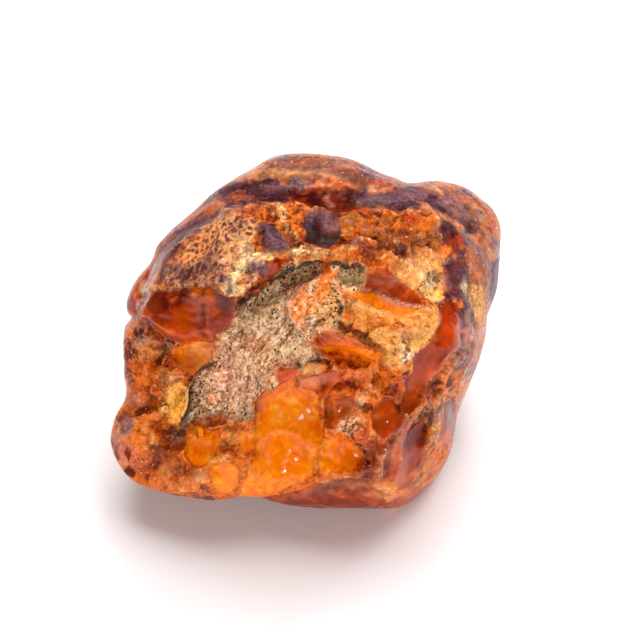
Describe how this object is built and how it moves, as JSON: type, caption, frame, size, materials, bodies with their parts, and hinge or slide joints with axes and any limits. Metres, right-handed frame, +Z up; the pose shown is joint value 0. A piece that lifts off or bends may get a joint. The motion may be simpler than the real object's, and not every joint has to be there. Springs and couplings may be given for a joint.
{
  "type": "raw amber piece",
  "caption": "Free-standing lump of raw amber with a weathered rind, glassy chipped hollows and a sandy crust across its show face; it rests on a flat spot underneath.",
  "frame": {"origin": "middle of the bounding box in X and Y, at the height of the flat spot the lump rests on", "axes": "+X to the right across the show face, +Y away from the show face, +Z up"},
  "size_m": [0.046, 0.0376, 0.032],
  "materials": {
    "amber": "see-through orange amber, glassy where it is chipped, under a mottled brown and plum rind with a patch of pale sandy crust"
  },
  "bodies": {
    "root": {"amber_piece": "amber"}
  },
  "joints": []
}
